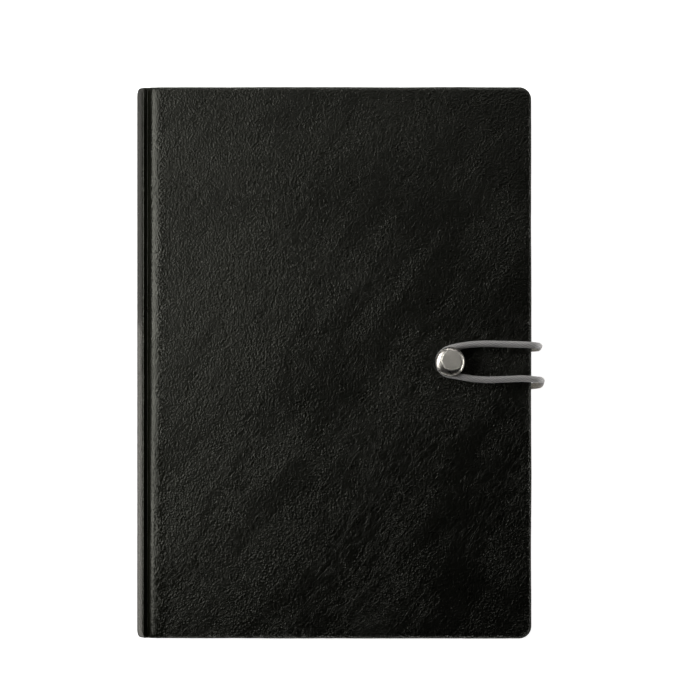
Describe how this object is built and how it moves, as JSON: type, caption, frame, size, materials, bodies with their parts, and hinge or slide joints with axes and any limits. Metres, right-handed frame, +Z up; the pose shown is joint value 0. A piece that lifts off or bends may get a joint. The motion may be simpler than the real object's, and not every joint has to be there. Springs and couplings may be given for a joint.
{
  "type": "leather notebook cover",
  "caption": "Hard-cover notebook case in grained black leather on its sewn page block, with a rounded spine, riveted stud and round elastic loop closure.",
  "frame": {"origin": "centre of the back cover's bottom face, on which the closed notebook lies", "axes": "+X from the spine to the fore edge, +Y from tail to head, +Z up through the front cover"},
  "size_m": [0.1597, 0.215, 0.0242],
  "materials": {
    "leather": "satin, fine pebbled grain with creases",
    "board": "matte greyboard",
    "endpaper": "matte heavy paper",
    "paper": "matte writing paper",
    "thread": "matte linen thread",
    "lining": "open gauze",
    "band": "ribbed woven band",
    "elastic": "braided cover",
    "stud_metal": "satin with a polished bevel",
    "washer_metal": "satin"
  },
  "bodies": {
    "back_cover": {"back_leather": "leather", "back_board": "board", "back_pastedown": "endpaper", "back_flyleaf": "endpaper", "signature_1": "paper", "signature_2": "paper", "signature_3": "paper", "signature_4": "paper", "signature_5": "paper", "signature_6": "paper", "signature_7": "paper", "signature_8": "paper", "sewing_thread": "thread", "spine_lining": "lining", "head_band": "band", "tail_band": "band", "elastic_anchors": "elastic", "back_joint_leather": "leather"},
    "spine": {"spine_leather": "leather", "spine_stiffener": "board"},
    "front_cover": {"front_joint_leather": "leather", "front_leather": "leather", "front_board": "board", "front_pastedown": "endpaper", "stud_cap": "stud_metal", "stud_washer": "washer_metal", "stud_rivet": "washer_metal"},
    "front_flyleaf": {"front_flyleaf": "endpaper"},
    "loop_riser": {"elastic_riser": "elastic"},
    "loop_head": {"elastic_loop": "elastic"}
  },
  "joints": [
    {"name": "front_groove", "type": "hinge", "parent": "spine", "child": "front_cover", "pos_m": [-0.0728, 0, 0.0155], "axis": [0, -1, 0], "range_deg": [0, 120], "deforming": ["front_joint_leather"]},
    {"name": "back_groove", "type": "hinge", "parent": "back_cover", "child": "spine", "pos_m": [-0.0728, 0, 0.0035], "axis": [0, -1, 0], "range_deg": [0, 60], "deforming": ["back_joint_leather"]},
    {"name": "flyleaf_turn", "type": "hinge", "parent": "back_cover", "child": "front_flyleaf", "pos_m": [-0.0727, 0, 0.01485], "axis": [0, -1, 0], "range_deg": [0, 181.5]},
    {"name": "loop_swing", "type": "hinge", "parent": "back_cover", "child": "loop_riser", "pos_m": [0.0793, 0, 0.0034], "axis": [0, 1, 0], "range_deg": [0, 90], "deforming": ["elastic_riser"]},
    {"name": "loop_unbend", "type": "hinge", "parent": "loop_riser", "child": "loop_head", "pos_m": [0.0793, 0, 0.019], "axis": [0, 1, 0], "range_deg": [0, 90], "deforming": ["elastic_loop"]}
  ],
  "couplings": [
    {"joint": "back_groove", "follows": "front_groove", "ratio": 0.5},
    {"joint": "flyleaf_turn", "follows": "front_groove", "ratio": 1.5125},
    {"joint": "loop_swing", "follows": "front_groove", "ratio": 0.75},
    {"joint": "loop_unbend", "follows": "front_groove", "ratio": 0.75}
  ]
}
